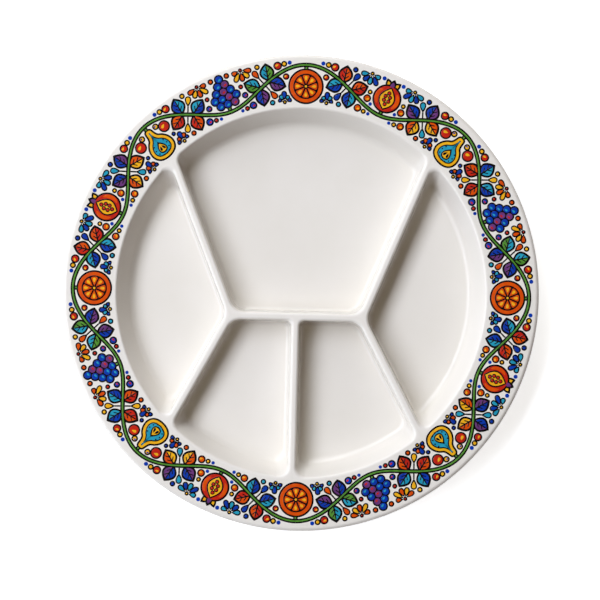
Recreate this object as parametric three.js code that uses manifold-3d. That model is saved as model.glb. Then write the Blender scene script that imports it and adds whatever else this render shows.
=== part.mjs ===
// Fondue plate: one glazed ceramic casting with five compartments, and the enamel transfers fired onto its rim.
// Millimetres, +Z up. The origin is the centre of the foot ring's standing face. +Y points to the large compartment.
import * as THREE from "three";
import { mergeVertices } from "three/addons/utils/BufferGeometryUtils.js";
import Module from "manifold-3d";

const wasm = await Module();
wasm.setup();

const { degToRad, euclideanModulo, lerp } = THREE.MathUtils;

// Driving dimensions of the casting
const PLATE_DIAMETER = 250;
const RIM_WIDTH = 28; // from the well's edge to the lip
const RIM_SLOPE = degToRad(1.5); // the rim rises outwards
const RIM_THICKNESS = 4.4;
const WELL_DEPTH = 14; // divider tops to compartment floors
const BASE_THICKNESS = 5; // under the compartment floors
const WALL_THICKNESS = 5;
const WALL_DRAFT = degToRad(26); // lean of the well's round wall from the vertical
const WALL_FILLET = 4.2; // between that wall and the compartment floors
const FOOT_HEIGHT = 3;
const FOOT_WIDTH = 3.6; // the ring that the plate stands on
const FOOT_FLARE = 1.6; // how far each side of the foot spreads up to the base
const FOOT_SETBACK = 9.5; // flat base left between the foot and the heel's rounding
const HEEL_ROUNDING = 7; // where the base turns up into the wall
const NECK_ROUNDING = 6; // where the wall turns out into the rim

// Driving dimensions of the dividers
const DIVIDER_TOP = 3.9; // thickness at the top, before its edges are rounded
const DIVIDER_DRAFT = degToRad(5);
const DIVIDER_FILLET = 2.2; // between the dividers and the compartment floors
const UPPER_SHIFT = -1.8; // the upper dividers' own axis lies a little to the left of the plate's,
const LOWER_SHIFT = -2.5; // and that of the lower and centre dividers a little further
const CROSS_Y = -12.4; // middle line of the cross divider
const CROSS_HALF_SPAN = 34.4; // from those axes to each Y junction
const UPPER_ANGLE = degToRad(22); // upper dividers, from the +Y direction
const LOWER_ANGLE = degToRad(28.3); // lower dividers, from the -Y direction
const EDGE_RADIUS = 1.5; // rounded top edges of the dividers and of the well
const JUNCTION_RADIUS = 8.5; // compartment corners in plan: at the Y junctions,
const SIDE_RADIUS = 10; // at the blunt corner of a side compartment,
const TEE_RADIUS = 3.2; // where the centre divider meets the cross divider,
const RIM_CORNER_RADIUS = 5.6; // where a divider runs into the well's wall,
const TIP_RADIUS = 4.2; // and at the pointed corners of a side compartment

// Driving dimensions of the enamel transfers, which fill a band of the rim
const TRANSFER_THICKNESS = 0.3;
const TRANSFER_GAP = 0.15; // clearance over the rim
const BORDER_MARGIN = 0.5; // bare glaze along the well's edge and along the lip
const ISLAND_GAP = 0.5; // bare glaze between neighbouring transfers
const VINE_ROOM = 4.6; // strip of the band, past the fruits, that the vine runs in
const VINE_WIDTH = 1.3;
const STEM_LENGTH = 1.2; // between a fruit and the vine
const STEM_WIDTH = 1.2;
const CROWN_HEIGHT = 3.4; // of a pomegranate
const CROWN_WIDTH = 7.6;
const GRAPE_ROWS = [3, 4, 3, 2, 1];
const PEAR_SLIMNESS = 0.74; // a pear's width for its length
const LEAF_ROOM = 24.5; // length of the band to leave between fruits
const LEAF_CLEARANCE = 1.8; // bare glaze past the leaves' tips
const LEAF_WIDTH = 8;
const LEAF_LEAN = degToRad(32); // from the square of the vine
const LEAF_ROOT = 2.2; // distance of a leaf's root from the vine's crossing

// Fineness of the faceted surfaces
const PLATE_SIDES = 72;
const SECTION_STEPS = 4; // of each rounded stretch in the plate's section
const CORNER_STEPS = 4;
const ARC_STEPS = 16;
const EDGE_SHARES = [0, 0.1, 0.4, 0.9]; // depths in the rounded edge, as shares of its radius
const FILLET_SHARES = [0.75, 0.45, 0.2, 0.05, 0]; // heights in the wall's fillet, as shares of its radius
const VINE_STEPS = 8;
const LEAF_STEPS = 4;
const FRUIT_STEPS = 13; // of half a round fruit
const GRAPE_STEPS = 5;
const PEAR_STEPS = 6;

// Radii and heights that follow from the driving dimensions
const PLATE_RADIUS = PLATE_DIAMETER / 2;
const WELL_RADIUS = PLATE_RADIUS - RIM_WIDTH;
const FLOOR_Z = FOOT_HEIGHT + BASE_THICKNESS;
const LAND_Z = FLOOR_Z + WELL_DEPTH;
const LIP_RADIUS = RIM_THICKNESS / 2;
const RIM_START = WELL_RADIUS + EDGE_RADIUS; // the level land ends and the rim's rise begins
const BAND_INNER = RIM_START + BORDER_MARGIN;
const BAND_OUTER = PLATE_RADIUS - LIP_RADIUS - BORDER_MARGIN;
const BAND_HEIGHT = BAND_OUTER - BAND_INNER;
const BAND_MIDDLE = (BAND_OUTER + BAND_INNER) / 2;
const FRUIT_HEIGHT = BAND_HEIGHT - VINE_ROOM;
const VINE_SWING = BAND_HEIGHT / 2 - VINE_ROOM + STEM_LENGTH + VINE_WIDTH / 2;

const FINISHES = {
  glaze: finish(0xf3f0ec, 0.12),
  orange: finish(0xe0590b, 0.2),
  cobalt: finish(0x0b3fae, 0.2),
  turquoise: finish(0x1f9fb4, 0.2),
  red: finish(0xc9281a, 0.2),
  green: finish(0x5a9838, 0.2),
};

function finish(color, roughness) {
  return new THREE.MeshStandardMaterial({ color, roughness, metalness: 0 });
}

// A closed geometry as a solid that can be joined and cut
function solidFrom(geometry) {
  const bare = geometry.clone();
  bare.deleteAttribute("normal");
  bare.deleteAttribute("uv");
  const merged = mergeVertices(bare, 1e-4);
  const corners = merged.index.array;
  const triangles = [];
  for (let i = 0; i < corners.length; i += 3) {
    const [a, b, c] = corners.subarray(i, i + 3);
    if (a !== b && b !== c && c !== a) triangles.push(a, b, c);
  }
  return new wasm.Manifold(
    new wasm.Mesh({
      numProp: 3,
      vertProperties: new Float32Array(merged.attributes.position.array),
      triVerts: new Uint32Array(triangles),
    }),
  );
}

function geometryFrom(solid) {
  const mesh = solid.getMesh();
  const geometry = new THREE.BufferGeometry();
  geometry.setAttribute("position", new THREE.BufferAttribute(mesh.vertProperties, 3));
  geometry.setIndex(new THREE.BufferAttribute(mesh.triVerts, 1));
  geometry.computeVertexNormals();
  return geometry;
}

function named(name, geometry, material) {
  const mesh = new THREE.Mesh(geometry, material);
  mesh.name = name;
  return mesh;
}

// Height of the rim's upper face at a distance from the axis
function rimTop(radius) {
  return LAND_Z + (radius - RIM_START) * Math.tan(RIM_SLOPE);
}

// The solid of revolution that the compartments are pressed into: foot, base, wall and rim, full up to the land
function plateBlank() {
  const wallTop = WELL_RADIUS + WALL_THICKNESS / Math.cos(WALL_DRAFT);
  const heelRadius = wallTop - (LAND_Z - FOOT_HEIGHT) * Math.tan(WALL_DRAFT);
  const heelStart = heelRadius - HEEL_ROUNDING;
  const footOuter = heelStart - FOOT_SETBACK - FOOT_FLARE;
  const footInner = footOuter - FOOT_WIDTH;

  const rimDrop = RIM_THICKNESS / Math.cos(RIM_SLOPE);
  const wallRise = 1 / Math.tan(WALL_DRAFT);
  const rimRise = Math.tan(RIM_SLOPE);
  const neckRadius = (wallTop * wallRise - RIM_START * rimRise - rimDrop) / (wallRise - rimRise);
  const neckEnd = neckRadius + NECK_ROUNDING;
  const neck = new THREE.Vector2(neckRadius, rimTop(neckRadius) - rimDrop);
  const upWall = new THREE.Vector2(Math.sin(WALL_DRAFT), Math.cos(WALL_DRAFT));
  const neckStart = neck.clone().addScaledVector(upWall, -NECK_ROUNDING);
  const heelEnd = new THREE.Vector2(heelRadius, FOOT_HEIGHT).addScaledVector(upWall, HEEL_ROUNDING);

  const lipRadius = PLATE_RADIUS - LIP_RADIUS;
  const lipZ = rimTop(lipRadius) - LIP_RADIUS / Math.cos(RIM_SLOPE);
  const lipStart = RIM_SLOPE - Math.PI / 2;

  const section = new THREE.Path();
  section.moveTo(0, FOOT_HEIGHT);
  section.lineTo(footInner - FOOT_FLARE, FOOT_HEIGHT);
  section.lineTo(footInner, 0);
  section.lineTo(footOuter, 0);
  section.lineTo(footOuter + FOOT_FLARE, FOOT_HEIGHT);
  section.lineTo(heelStart, FOOT_HEIGHT);
  section.quadraticCurveTo(heelRadius, FOOT_HEIGHT, heelEnd.x, heelEnd.y);
  section.lineTo(neckStart.x, neckStart.y);
  section.quadraticCurveTo(neck.x, neck.y, neckEnd, rimTop(neckEnd) - rimDrop);
  section.absarc(lipRadius, lipZ, LIP_RADIUS, lipStart, lipStart + Math.PI, false);
  section.lineTo(RIM_START, LAND_Z);
  section.lineTo(0, LAND_Z);
  const blank = new THREE.LatheGeometry(section.getPoints(SECTION_STEPS), PLATE_SIDES);
  return solidFrom(blank.rotateX(Math.PI / 2));
}

// A divider's middle line in plan, from a point on the cross divider along a direction
function divider(x, directionX, directionY) {
  return { point: new THREE.Vector2(x, CROSS_Y), direction: new THREE.Vector2(directionX, directionY) };
}

function reversed(line) {
  return { point: line.point, direction: line.direction.clone().negate() };
}

const upperLeft = divider(UPPER_SHIFT - CROSS_HALF_SPAN, -Math.sin(UPPER_ANGLE), Math.cos(UPPER_ANGLE));
const upperRight = divider(UPPER_SHIFT + CROSS_HALF_SPAN, Math.sin(UPPER_ANGLE), Math.cos(UPPER_ANGLE));
const lowerLeft = divider(LOWER_SHIFT - CROSS_HALF_SPAN, -Math.sin(LOWER_ANGLE), -Math.cos(LOWER_ANGLE));
const lowerRight = divider(LOWER_SHIFT + CROSS_HALF_SPAN, Math.sin(LOWER_ANGLE), -Math.cos(LOWER_ANGLE));
const centre = divider(LOWER_SHIFT, 0, -1);
const cross = divider(LOWER_SHIFT, 1, 0);
const WELL = "well"; // the stretch of a compartment's outline that follows the round wall

// Each compartment's sides, anticlockwise with the compartment on their left, and the corner radius at each side's end
const COMPARTMENTS = [
  [
    [cross, JUNCTION_RADIUS],
    [upperRight, RIM_CORNER_RADIUS],
    [WELL, RIM_CORNER_RADIUS],
    [reversed(upperLeft), JUNCTION_RADIUS],
  ],
  [
    [upperLeft, TIP_RADIUS],
    [WELL, TIP_RADIUS],
    [reversed(lowerLeft), SIDE_RADIUS],
  ],
  [
    [lowerLeft, RIM_CORNER_RADIUS],
    [WELL, RIM_CORNER_RADIUS],
    [reversed(centre), TEE_RADIUS],
    [reversed(cross), JUNCTION_RADIUS],
  ],
  [
    [centre, RIM_CORNER_RADIUS],
    [WELL, RIM_CORNER_RADIUS],
    [reversed(lowerRight), JUNCTION_RADIUS],
    [reversed(cross), TEE_RADIUS],
  ],
  [
    [lowerRight, TIP_RADIUS],
    [WELL, TIP_RADIUS],
    [reversed(upperRight), SIDE_RADIUS],
  ],
];

// How far a compartment's wall stands in from its top edge at a depth: rounded edge, straight draft, then floor fillet
function wallInset(depth, draft, fillet) {
  const halfTurn = (Math.PI / 2 - draft) / 2;
  const edgeEnd = EDGE_RADIUS * (1 - Math.sin(draft));
  const filletStart = WELL_DEPTH - fillet * (1 - Math.sin(draft));
  if (depth < edgeEnd) {
    const height = EDGE_RADIUS - depth;
    return Math.sqrt(EDGE_RADIUS ** 2 - height ** 2) - EDGE_RADIUS * Math.tan(halfTurn);
  }
  if (depth < filletStart) return depth * Math.tan(draft);
  const drop = fillet - (WELL_DEPTH - depth);
  const floorEdge = WELL_DEPTH * Math.tan(draft) + fillet * Math.tan(halfTurn);
  return floorEdge - Math.sqrt(Math.max(0, fillet ** 2 - drop ** 2));
}

// The line at a distance on the left of another
function movedLeft(line, distance) {
  const left = new THREE.Vector2(-line.direction.y, line.direction.x);
  return { point: line.point.clone().addScaledVector(left, distance), direction: line.direction };
}

function lineCrossing(a, b) {
  const along = b.point.clone().sub(a.point).cross(b.direction) / a.direction.cross(b.direction);
  return a.point.clone().addScaledVector(a.direction, along);
}

// Where a line meets a circle about the axis: way is 1 for the last crossing along it and -1 for the first
function circleCrossing(line, radius, way) {
  const nearest = line.point.clone().addScaledVector(line.direction, -line.point.dot(line.direction));
  return nearest.addScaledVector(line.direction, way * Math.sqrt(radius ** 2 - nearest.lengthSq()));
}

function arcPoints(middle, radius, from, to, steps) {
  return Array.from({ length: steps + 1 }, (_, i) => {
    const angle = lerp(from, to, i / steps);
    return new THREE.Vector2(Math.cos(angle), Math.sin(angle)).multiplyScalar(radius).add(middle);
  });
}

// A compartment's outline in plan at a depth: its sides moved in by the walls' insets, with rounded corners
function outlineAt(sides, depth) {
  const dividerInset = DIVIDER_TOP / 2 + wallInset(depth, DIVIDER_DRAFT, DIVIDER_FILLET);
  const wellRadius = WELL_RADIUS - wallInset(depth, WALL_DRAFT, WALL_FILLET);
  const squareOf = (line) => new THREE.Vector2(line.direction.y, -line.direction.x).angle();
  const corners = sides.map(([side, radius], i) => {
    const [next] = sides[(i + 1) % sides.length];
    const inside = (line) => movedLeft(line, dividerInset + radius);
    let middle;
    if (side === WELL) middle = circleCrossing(inside(next), wellRadius - radius, -1);
    else if (next === WELL) middle = circleCrossing(inside(side), wellRadius - radius, 1);
    else middle = lineCrossing(inside(side), inside(next));
    const from = side === WELL ? middle.angle() : squareOf(side);
    const to = next === WELL ? middle.angle() : squareOf(next);
    const turn = euclideanModulo(to - from, 2 * Math.PI);
    return { middle, points: arcPoints(middle, radius, from, from + turn, CORNER_STEPS) };
  });
  return sides.flatMap(([side], i) => {
    if (side !== WELL) return corners[i].points;
    const from = corners.at(i - 1).middle.angle();
    const sweep = euclideanModulo(corners[i].middle.angle() - from, 2 * Math.PI);
    const arc = arcPoints(new THREE.Vector2(), wellRadius, from, from + sweep, ARC_STEPS);
    return [...arc.slice(1, -1), ...corners[i].points];
  });
}

// The solid that presses one compartment: its outline carried down the wall's profile, and up clear of the rim
function compartmentPress(sides) {
  const depths = [
    ...EDGE_SHARES.map((share) => share * EDGE_RADIUS),
    ...FILLET_SHARES.map((share) => WELL_DEPTH - share * WALL_FILLET),
  ];
  const rings = depths.map((depth) => ({ outline: outlineAt(sides, depth), z: LAND_Z - depth }));
  rings.unshift({ outline: rings[0].outline, z: rimTop(PLATE_RADIUS) + LIP_RADIUS });
  const count = rings[0].outline.length;
  const index = [];
  for (let ring = 0; ring + 1 < rings.length; ring++) {
    for (let i = 0; i < count; i++) {
      const here = ring * count + i;
      const next = ring * count + ((i + 1) % count);
      index.push(here, here + count, next, next, here + count, next + count);
    }
  }
  const floor = (rings.length - 1) * count;
  for (let i = 1; i + 1 < count; i++) {
    index.push(0, i, i + 1);
    index.push(floor, floor + i + 1, floor + i);
  }
  const positions = rings.flatMap(({ outline, z }) => outline.flatMap((point) => [point.x, point.y, z]));
  const geometry = new THREE.BufferGeometry();
  geometry.setAttribute("position", new THREE.Float32BufferAttribute(positions, 3));
  geometry.setIndex(index);
  return solidFrom(geometry);
}

function plateBody() {
  const presses = COMPARTMENTS.map(compartmentPress);
  const body = presses.reduce((solid, press) => solid.subtract(press), plateBlank());
  return named("plate_body", geometryFrom(body), FINISHES.glaze);
}

// A shape in plan as a level sheet of enamel
function sheet(shape, curveSegments) {
  const depth = TRANSFER_THICKNESS;
  return solidFrom(new THREE.ExtrudeGeometry(shape, { depth, bevelEnabled: false, curveSegments }));
}

// A level sheet laid on the rim, whose rise it follows
function laidOnRim(solid) {
  const geometry = geometryFrom(solid);
  const position = geometry.attributes.position;
  for (let i = 0; i < position.count; i++) {
    const radius = Math.hypot(position.getX(i), position.getY(i));
    position.setZ(i, position.getZ(i) + rimTop(radius) + TRANSFER_GAP);
  }
  geometry.computeVertexNormals();
  return geometry;
}

function disc(x, y, radius) {
  return new THREE.Shape().absarc(x, y, radius, 0, 2 * Math.PI, false);
}

function polygon(points) {
  return new THREE.Shape(points.map(([x, y]) => new THREE.Vector2(x, y)));
}

// Places in a bay, on the radius through its middle. A fruit hangs from the vine: side is 1 where the vine runs
// outside the fruit and -1 where it runs inside
function bayPlaces(side) {
  const tip = BAND_MIDDLE - (side * BAND_HEIGHT) / 2;
  const top = tip + side * FRUIT_HEIGHT;
  return { tip, top, vine: BAND_MIDDLE + side * VINE_SWING };
}

// The stem from just inside a fruit's top to just short of the vine
function fruitStem(side) {
  const { top, vine } = bayPlaces(side);
  const root = top - side * STEM_LENGTH;
  const end = vine - side * (VINE_WIDTH / 2 + ISLAND_GAP);
  const half = STEM_WIDTH / 2;
  return sheet(
    polygon([
      [root, side * half],
      [root, -side * half],
      [end, -side * half],
      [end, side * half],
    ]),
    1,
  );
}

function orange(side) {
  const { tip } = bayPlaces(side);
  const radius = FRUIT_HEIGHT / 2;
  return sheet(disc(tip + side * radius, 0, radius), FRUIT_STEPS).add(fruitStem(side));
}

// Grapes in rows, each nested between those of the row above
function grapes(side) {
  const overlap = 0.64; // a grape's radius for the pitch between grapes
  const rowShare = Math.cos(Math.PI / 6);
  const rows = GRAPE_ROWS.length;
  const pitch = FRUIT_HEIGHT / ((rows - 1) * rowShare + 2 * overlap);
  const radius = overlap * pitch;
  const { top } = bayPlaces(side);
  return GRAPE_ROWS.flatMap((count, row) =>
    Array.from({ length: count }, (_, i) => {
      const x = top - side * (radius + row * rowShare * pitch);
      return sheet(disc(x, (i - (count - 1) / 2) * pitch, radius), GRAPE_STEPS);
    }),
  ).reduce((bunch, grape) => bunch.add(grape), fruitStem(side));
}

// A round belly that narrows to a neck at the stem
function pear(side) {
  const { tip, top } = bayPlaces(side);
  const at = (share) => lerp(tip, top, share);
  const belly = (side * FRUIT_HEIGHT * PEAR_SLIMNESS * 2) / 3;
  const neck = belly / 2.6;
  const outline = new THREE.Shape();
  outline.moveTo(tip, 0);
  outline.bezierCurveTo(tip, -belly, at(0.5), -belly, at(0.7), -neck);
  outline.bezierCurveTo(at(0.82), -neck / 2, top, -neck, top, 0);
  outline.bezierCurveTo(top, neck, at(0.82), neck / 2, at(0.7), neck);
  outline.bezierCurveTo(at(0.5), belly, tip, belly, tip, 0);
  return sheet(outline, PEAR_STEPS).add(fruitStem(side));
}

// A round fruit with a three-pointed crown at its tip
function pomegranate(side) {
  const { tip } = bayPlaces(side);
  const radius = (FRUIT_HEIGHT - CROWN_HEIGHT) / 2;
  const middle = tip + side * (CROWN_HEIGHT + radius);
  const root = tip + side * (CROWN_HEIGHT + radius / 3);
  const notch = tip + side * CROWN_HEIGHT * 0.6;
  const half = (side * CROWN_WIDTH) / 2;
  const crown = polygon([
    [root, half / 2],
    [tip, half],
    [notch, half / 3],
    [tip, 0],
    [notch, -half / 3],
    [tip, -half],
    [root, -half / 2],
  ]);
  return sheet(disc(middle, 0, radius), FRUIT_STEPS).add(sheet(crown, 1)).add(fruitStem(side));
}

const FRUITS = [
  { name: "orange", make: orange, material: FINISHES.orange },
  { name: "grapes", make: grapes, material: FINISHES.cobalt },
  { name: "pear", make: pear, material: FINISHES.turquoise },
  { name: "pomegranate", make: pomegranate, material: FINISHES.red },
];
const ROUND_LENGTH = FRUITS.length * (FRUIT_HEIGHT + LEAF_ROOM); // length of the band for one fruit of each kind
const BAYS = FRUITS.length * Math.round((2 * Math.PI * BAND_MIDDLE) / ROUND_LENGTH);
const BAY_ANGLE = (2 * Math.PI) / BAYS;
const BAY_ROOM = BAY_ANGLE * BAND_MIDDLE - FRUIT_HEIGHT;
const LEAF_LENGTH = Math.min(BAND_HEIGHT, BAY_ROOM) / 2 - LEAF_CLEARANCE;

// A pointed leaf from its root in plan, along a bearing
function leaf(x, y, bearing) {
  const place = (along, across) => [
    x + along * Math.cos(bearing) - across * Math.sin(bearing),
    y + along * Math.sin(bearing) + across * Math.cos(bearing),
  ];
  const broadest = LEAF_LENGTH * 0.45;
  const blade = new THREE.Shape();
  blade.moveTo(...place(0, 0));
  blade.quadraticCurveTo(...place(broadest, -LEAF_WIDTH), ...place(LEAF_LENGTH, 0));
  blade.quadraticCurveTo(...place(broadest, LEAF_WIDTH), ...place(0, 0));
  return sheet(blade, LEAF_STEPS);
}

// The vine's half wave between two bays' middles, with a pair of leaves on each side where it crosses the band's
// middle. It starts outside where side is 1
function vineSprig(side) {
  const span = BAY_ANGLE - ISLAND_GAP / BAND_MIDDLE;
  const middleLine = (angle) => BAND_MIDDLE - side * VINE_SWING * Math.sin((angle / BAY_ANGLE) * Math.PI);
  const edge = (offset) =>
    Array.from({ length: VINE_STEPS + 1 }, (_, i) => {
      const angle = (i / VINE_STEPS - 0.5) * span;
      const radius = middleLine(angle) + offset;
      return [radius * Math.cos(angle), radius * Math.sin(angle)];
    });
  const vine = sheet(polygon([...edge(VINE_WIDTH / 2), ...edge(-VINE_WIDTH / 2).reverse()]), 1);
  const slant = Math.atan((side * VINE_SWING * Math.PI) / (BAY_ANGLE * BAND_MIDDLE));
  const leaves = [0, Math.PI].flatMap((facing) =>
    [-1, 1].map((end) => {
      const angle = (end * LEAF_ROOT) / BAND_MIDDLE;
      const radius = middleLine(angle);
      const lean = facing === 0 ? end * LEAF_LEAN : -end * LEAF_LEAN;
      return leaf(radius * Math.cos(angle), radius * Math.sin(angle), facing + slant + lean);
    }),
  );
  return leaves.reduce((sprig, blade) => sprig.add(blade), vine);
}

function turned(angle, mesh) {
  const group = new THREE.Group();
  group.rotation.z = angle;
  return group.add(mesh);
}

// The garland: fruits hang by turns inside and outside a vine that swings across the band
function garland() {
  const group = new THREE.Group();
  for (let bay = 0; bay < BAYS; bay++) {
    const side = bay % 2 === 0 ? 1 : -1;
    const angle = bay * BAY_ANGLE;
    const { name, make, material } = FRUITS[bay % FRUITS.length];
    const round = Math.floor(bay / FRUITS.length) + 1;
    const fruit = named(`${name}_${round}`, laidOnRim(make(side)), material);
    const sprig = named(`vine_sprig_${bay + 1}`, laidOnRim(vineSprig(side)), FINISHES.green);
    group.add(turned(angle, fruit));
    group.add(turned(angle + BAY_ANGLE / 2, sprig));
  }
  return group;
}

const plate = new THREE.Group();
plate.add(plateBody());
plate.add(garland());

export default plate;
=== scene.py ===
"""Looks of a round glazed fondue plate: its pressed body, and the enamel garland fired onto its rim.

Shapes are worked out in millimetres, in the part's own frame with +Z up, and go into the meshes in metres.
"""

import logging
from dataclasses import dataclass, field
from enum import Enum, IntEnum

import bmesh
import bpy
import numpy as np
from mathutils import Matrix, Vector
from numpy.typing import NDArray

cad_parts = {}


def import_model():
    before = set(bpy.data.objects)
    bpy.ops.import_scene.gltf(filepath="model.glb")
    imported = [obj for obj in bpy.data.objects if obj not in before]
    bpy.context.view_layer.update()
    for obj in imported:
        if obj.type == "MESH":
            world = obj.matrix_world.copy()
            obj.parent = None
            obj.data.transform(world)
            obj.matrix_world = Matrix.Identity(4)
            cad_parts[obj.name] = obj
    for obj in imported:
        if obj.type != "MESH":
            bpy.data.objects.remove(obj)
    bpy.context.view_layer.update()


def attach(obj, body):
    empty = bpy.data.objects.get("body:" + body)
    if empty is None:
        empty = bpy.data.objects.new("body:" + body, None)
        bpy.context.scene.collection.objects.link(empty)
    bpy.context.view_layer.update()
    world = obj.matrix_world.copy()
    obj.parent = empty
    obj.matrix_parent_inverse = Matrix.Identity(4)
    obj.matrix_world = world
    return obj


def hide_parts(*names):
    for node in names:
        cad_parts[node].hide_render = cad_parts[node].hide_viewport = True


Array = NDArray[np.float64]
Line = tuple[Array, Array]
Point = tuple[float, float] | Array
Piece = bpy.types.Object
Material = bpy.types.Material
NodeTree = bpy.types.NodeTree
Socket = bpy.types.NodeSocket
Tone = tuple[int, int, int]
Color = tuple[float, float, float, float]

MM = 0.001
TURN = 2 * np.pi
FIRST_COAT, COAT_STEP = 0.045, 0.024
WHITE: Color = (1.0, 1.0, 1.0, 1.0)
LOG = logging.getLogger("fondue_plate")


class Hue(Enum):
    """Colours of the fired enamels, as sRGB bytes of a full coat and of a heavier one."""

    BLACK = ((15, 13, 15), (9, 8, 10))
    COBALT = ((4, 62, 174), (0, 46, 148))
    TURQUOISE = ((40, 160, 188), (20, 136, 168))
    ORANGE = ((222, 84, 4), (202, 64, 0))
    RED = ((202, 40, 20), (174, 26, 14))
    GOLD = ((240, 182, 32), (226, 158, 14))
    GREEN = ((90, 148, 54), (66, 122, 38))
    AUBERGINE = ((114, 62, 126), (90, 44, 104))


Enamels = dict[Hue, Material]


class Coat(IntEnum):
    """Order in which the enamels of a motif lie on each other."""

    UNDERLINE = 0
    GROUND = 1
    LINE = 2
    FILL = 3
    DETAIL = 4
    ACCENT = 5
    DOT = 6
    SEED = 7
    GLINT = 8

    @property
    def lift(self) -> float:
        """Height of the coat's face over the rim, in millimetres."""
        return FIRST_COAT + COAT_STEP * self


def linear(srgb: Tone) -> Color:
    """The linear colour of sRGB bytes.

    Args:
        srgb: Red, green and blue from 0 to 255.

    Returns:
        Linear red, green, blue and an alpha of 1.
    """
    share = np.asarray(srgb, float) / 255
    value = np.where(share <= 0.04045, share / 12.92, ((share + 0.055) / 1.055) ** 2.4)
    return float(value[0]), float(value[1]), float(value[2]), 1.0


def direction(angle: float | Array) -> Array:
    """Unit vectors in plan at angles from +X."""
    return np.stack([np.cos(angle), np.sin(angle)], axis=-1)


def bearing_of(vector: Array) -> float:
    """Angle of a vector in plan from +X."""
    return float(np.arctan2(vector[1], vector[0]))


def spread(count: int, pitch: float) -> Array:
    """Places at a pitch, as many to the left of the middle as to its right."""
    return (np.arange(count) - (count - 1) / 2) * pitch


def ease(value: Array) -> Array:
    """Smooth step of values held between 0 and 1."""
    held = np.clip(value, 0, 1)
    return held * held * (3 - 2 * held)


class Surface:
    """A mesh put together from grids of points, each grid in one finish.

    Points within the weld of each other become one, and edges shorter than the sliver go, both in metres.
    """

    weld = 2e-7
    sliver = 1e-8

    def __init__(self) -> None:
        """Starts with nothing."""
        self.points: list[Array] = []
        self.quads: list[NDArray[np.int64]] = []
        self.finishes: list[NDArray[np.int32]] = []
        self.values: dict[str, list[Array]] = {}
        self.count = 0

    def grid(self, points: Array, finish: int = 0, values: dict[str, Array] | None = None) -> None:
        """Adds the quads of a grid whose last column joins its first, facing to the left of its rows' run.

        Args:
            points: Millimetres, shaped (rows, columns, 3).
            finish: Number of the material.
            values: Attributes of the points, each shaped (rows, columns).
        """
        rows, columns = points.shape[:2]
        here = np.arange(rows * columns).reshape(rows, columns) + self.count
        ahead = np.roll(here, -1, axis=1)
        quads = np.stack([here[:-1], ahead[:-1], ahead[1:], here[1:]], axis=-1).reshape(-1, 4)
        self.points.append(points.reshape(-1, 3))
        self.quads.append(quads)
        self.finishes.append(np.full(len(quads), finish, np.int32))
        for name, value in (values or {}).items():
            self.values.setdefault(name, []).append(np.broadcast_to(value, (rows, columns)).ravel())
        self.count += rows * columns

    def piece(self, name: str, materials: list[Material], sharp: float | None = None) -> Piece:
        """The finished piece, at the origin, with its doubled points merged.

        Args:
            name: The piece's name.
            materials: Its finishes, in the order of their numbers.
            sharp: Angle past which edges stay sharp, or None where all is smooth.

        Returns:
            The object, linked to the scene and riding on the plate.
        """
        points = np.concatenate(self.points) * MM
        quads = np.concatenate(self.quads)
        mesh = bpy.data.meshes.new(name)
        mesh.vertices.add(len(points))
        mesh.vertices.foreach_set("co", points.astype(np.float32).ravel())
        mesh.loops.add(quads.size)
        mesh.loops.foreach_set("vertex_index", quads.astype(np.int32).ravel())
        mesh.polygons.add(len(quads))
        mesh.polygons.foreach_set("loop_start", np.arange(0, quads.size, 4, dtype=np.int32))
        mesh.polygons.foreach_set("material_index", np.concatenate(self.finishes))
        mesh.update(calc_edges=True)
        for label, parts in self.values.items():
            attribute = mesh.attributes.new(label, "FLOAT", "POINT")
            attribute.data.foreach_set("value", np.concatenate(parts).astype(np.float32))
        made = bmesh.new()
        made.from_mesh(mesh)
        bmesh.ops.remove_doubles(made, verts=made.verts, dist=self.weld)
        bmesh.ops.dissolve_degenerate(made, edges=made.edges, dist=self.sliver)
        made.to_mesh(mesh)
        made.free()
        mesh.shade_smooth()
        if sharp is not None:
            mesh.set_sharp_from_angle(angle=sharp)
        for material in materials:
            mesh.materials.append(material)
        body = bpy.data.objects.new(name, mesh)
        bpy.context.scene.collection.objects.link(body)
        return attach(body, "root")


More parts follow.
